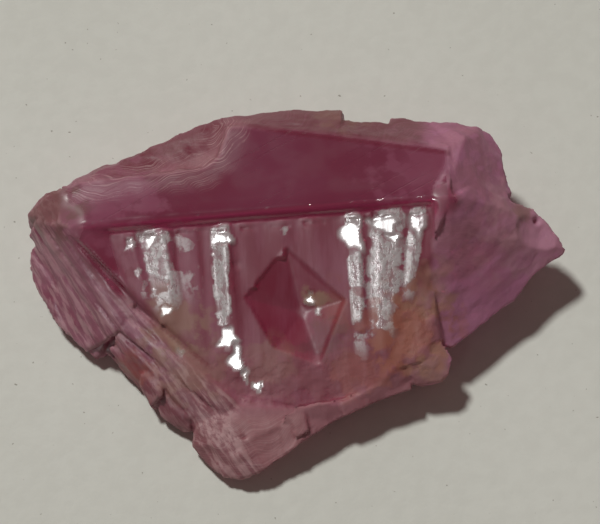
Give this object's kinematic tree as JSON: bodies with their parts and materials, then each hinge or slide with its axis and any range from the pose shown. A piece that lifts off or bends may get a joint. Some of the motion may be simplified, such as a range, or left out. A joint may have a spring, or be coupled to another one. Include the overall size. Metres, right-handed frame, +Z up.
{
  "type": "rough sapphire crystal",
  "caption": "Rough piece of pink-purple sapphire with a flat sloping crown, a ribbed front face and broken sides, lying on a flat base.",
  "frame": {"origin": "on the resting face, under the middle of the stone's bounding box", "axes": "+X along the stone's length towards its thin wing, +Y from the ribbed front face to the back, +Z up from the resting face"},
  "size_m": [0.0202, 0.0138, 0.0053],
  "materials": {
    "sapphire": "translucent rough corundum, silky growth bands and frosted broken faces"
  },
  "bodies": {
    "root": {"sapphire": "sapphire"}
  },
  "joints": []
}
